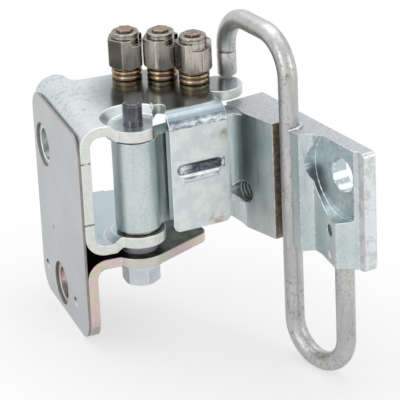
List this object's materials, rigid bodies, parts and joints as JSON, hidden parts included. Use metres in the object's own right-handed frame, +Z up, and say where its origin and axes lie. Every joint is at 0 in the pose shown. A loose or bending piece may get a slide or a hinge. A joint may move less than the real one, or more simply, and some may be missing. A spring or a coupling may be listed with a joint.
{
  "type": "car door hinge",
  "caption": "Bolted car door hinge with a built-in door check: a sprung bar on the drawn door leaf snaps past a row of hexagonal posts on a folded pillar yoke.",
  "frame": {"origin": "centre of the upper pillar hole on the yoke's outer face, which lies against the shim", "axes": "+X away from the pillar, +Y to the back of the yoke, +Z up along the hinge pin"},
  "size_m": [0.0994, 0.1103, 0.135],
  "materials": {
    "zinc_plate": "bright bluish zinc plate with scuffs",
    "leaf_zinc": "bright bluish zinc plate",
    "shim_zinc": "dull grey zinc sheet",
    "chromate": "iridescent chromate over zinc",
    "dark_pin": "dark purple-grey ground steel",
    "bolt_zinc": "clear zinc plate",
    "bronze": "dull bronze",
    "spring_steel": "dull grey plated spring steel with dark specks",
    "stud_steel": "brown tempered steel",
    "sleeve_nickel": "satin brown-grey nickel",
    "collar_zinc": "zinc plate with a greenish sheen"
  },
  "bodies": {
    "pillar": {"mounting_shim": "shim_zinc", "pillar_yoke": "zinc_plate", "lower_bracket": "chromate", "hinge_pin": "dark_pin", "pin_bolt": "bolt_zinc", "pin_washer": "bolt_zinc", "detent_stud_1": "stud_steel", "detent_bush_1": "bronze", "detent_sleeve_1": "sleeve_nickel", "detent_collar_1": "collar_zinc", "detent_stud_2": "stud_steel", "detent_bush_2": "bronze", "detent_sleeve_2": "sleeve_nickel", "detent_collar_2": "collar_zinc", "detent_stud_3": "stud_steel", "detent_bush_3": "bronze", "detent_sleeve_3": "sleeve_nickel", "detent_collar_3": "collar_zinc"},
    "door": {"door_leaf": "leaf_zinc", "upper_bush": "bronze", "lower_bush": "bronze", "torsion_bar": "spring_steel"}
  },
  "joints": [
    {"name": "door_swing", "type": "hinge", "parent": "pillar", "child": "door", "pos_m": [0.0231, -0.0424, 0], "axis": [0, 0, 1], "range_deg": [-7, 65]}
  ]
}
